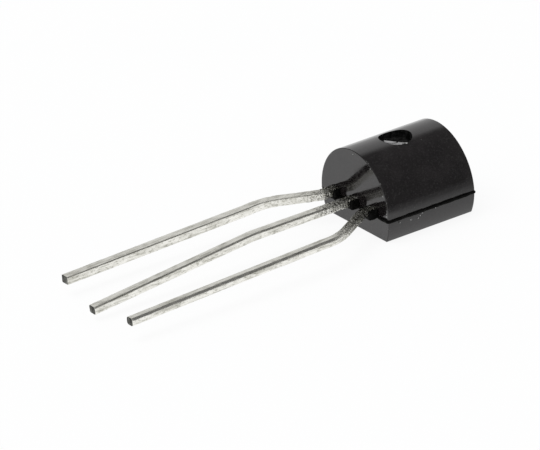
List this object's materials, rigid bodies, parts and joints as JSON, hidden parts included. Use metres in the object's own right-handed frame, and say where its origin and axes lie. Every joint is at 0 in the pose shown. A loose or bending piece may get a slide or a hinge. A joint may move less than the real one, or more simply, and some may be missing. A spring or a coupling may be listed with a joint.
{
  "type": "to-92 transistor",
  "caption": "Small transistor in a black moulded case with a round back and a flat front, on tinned leads that splay out and run straight.",
  "frame": {"origin": "centre of the flat of the case, which faces down", "axes": "+Z from the flat towards the top of the round back, -Y along the leads away from the case, +X across the lead row"},
  "size_m": [0.0056, 0.0172, 0.0033],
  "materials": {
    "moulding": "smooth black moulding compound with a slight sheen",
    "tinned_lead": "bright tin plating, crinkled and mottled",
    "die_attach": "dull silver-filled adhesive",
    "silicon": "polished dark grey",
    "bond_wire": "bright gold-coloured wire"
  },
  "bodies": {
    "root": {"case": "moulding", "collector_lead": "tinned_lead", "base_lead": "tinned_lead", "emitter_lead": "tinned_lead", "die_attach": "die_attach", "silicon_die": "silicon", "base_wire": "bond_wire", "emitter_wire": "bond_wire"}
  },
  "joints": []
}
